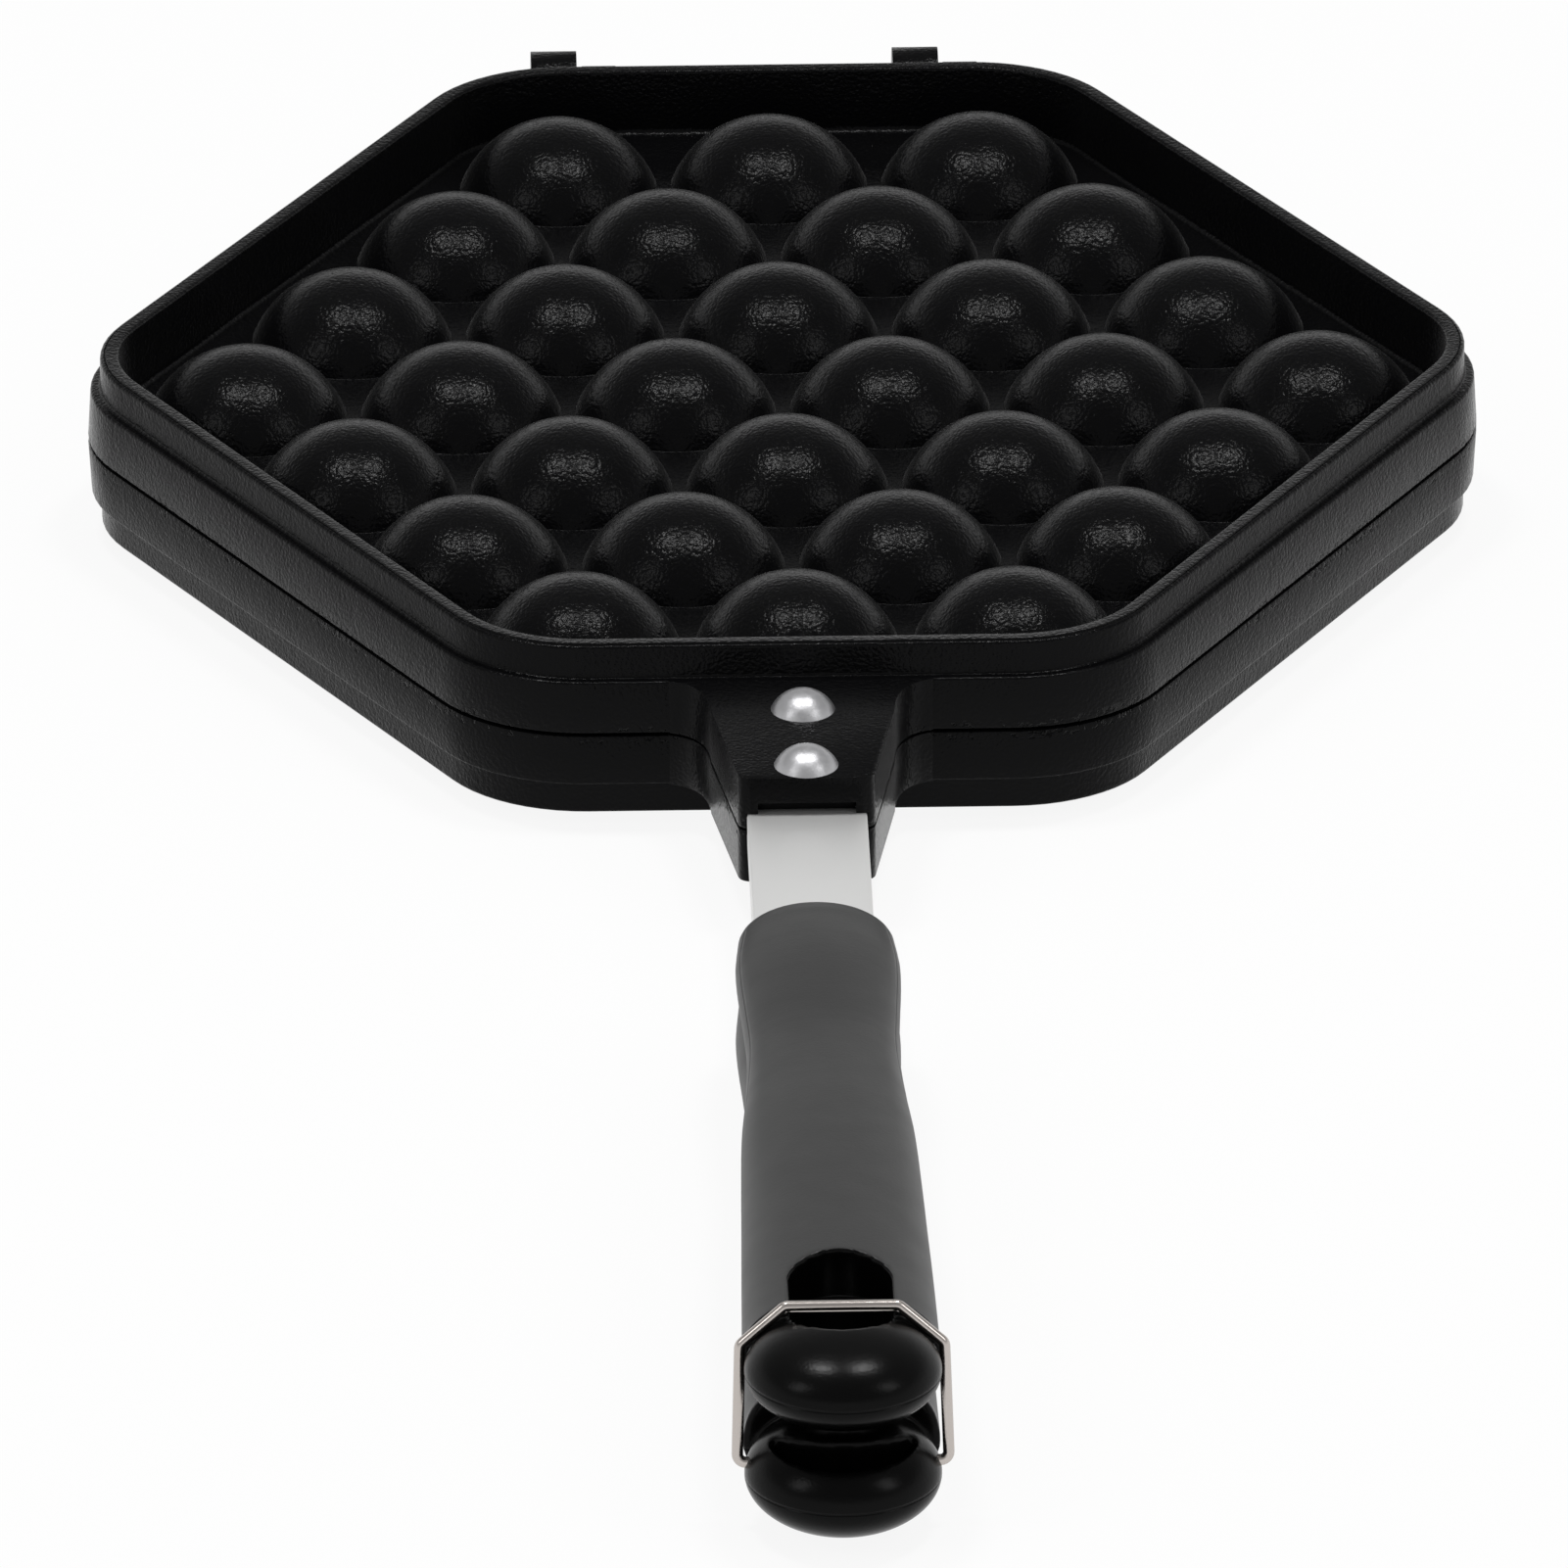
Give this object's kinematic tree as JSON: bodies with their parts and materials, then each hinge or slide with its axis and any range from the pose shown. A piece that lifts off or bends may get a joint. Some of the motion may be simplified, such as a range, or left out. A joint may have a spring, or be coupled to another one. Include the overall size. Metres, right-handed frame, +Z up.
{
  "type": "egg waffle pan",
  "caption": "Hinged cast aluminium stovetop pan for egg waffles, hexagonal, black coated, with two long grips and a wire latch.",
  "frame": {"origin": "bottom centre of the whole closed pan's bounding box", "axes": "+Z up with the pan lying closed, +Y away from the grips towards the hinge, +X to the right seen from the grips"},
  "size_m": [0.1814, 0.4094, 0.0276],
  "materials": {
    "pan_coating": "speckled black non-stick coating on cast aluminium",
    "grip_phenolic": "satin black moulded phenolic",
    "tang_steel": "satin stainless steel strip",
    "rivet_aluminium": "satin aluminium",
    "wire_steel": "bright nickel-plated steel wire",
    "pin_steel": "plain steel"
  },
  "bodies": {
    "lower_half": {"lower_pan": "pan_coating", "hinge_pin_left": "pin_steel", "hinge_pin_right": "pin_steel", "lower_tang": "tang_steel", "lower_rivet_rear": "rivet_aluminium", "lower_rivet_front": "rivet_aluminium", "lower_grip_screw_rear": "pin_steel", "lower_grip_screw_front": "pin_steel", "lower_grip": "grip_phenolic"},
    "upper_half": {"upper_pan": "pan_coating", "upper_tang": "tang_steel", "upper_rivet_rear": "rivet_aluminium", "upper_rivet_front": "rivet_aluminium", "upper_grip_screw_rear": "pin_steel", "upper_grip_screw_front": "pin_steel", "upper_grip": "grip_phenolic"},
    "latch": {"latch_wire": "wire_steel"}
  },
  "joints": [
    {"name": "lid_hinge", "type": "hinge", "parent": "lower_half", "child": "upper_half", "pos_m": [0, 0.19926, 0.0181], "axis": [-1, 0, 0], "range_deg": [0, 180]},
    {"name": "latch_swing", "type": "hinge", "parent": "lower_half", "child": "latch", "pos_m": [0, -0.19267, 0.0079], "axis": [1, 0, 0], "range_deg": [0, 255]}
  ]
}
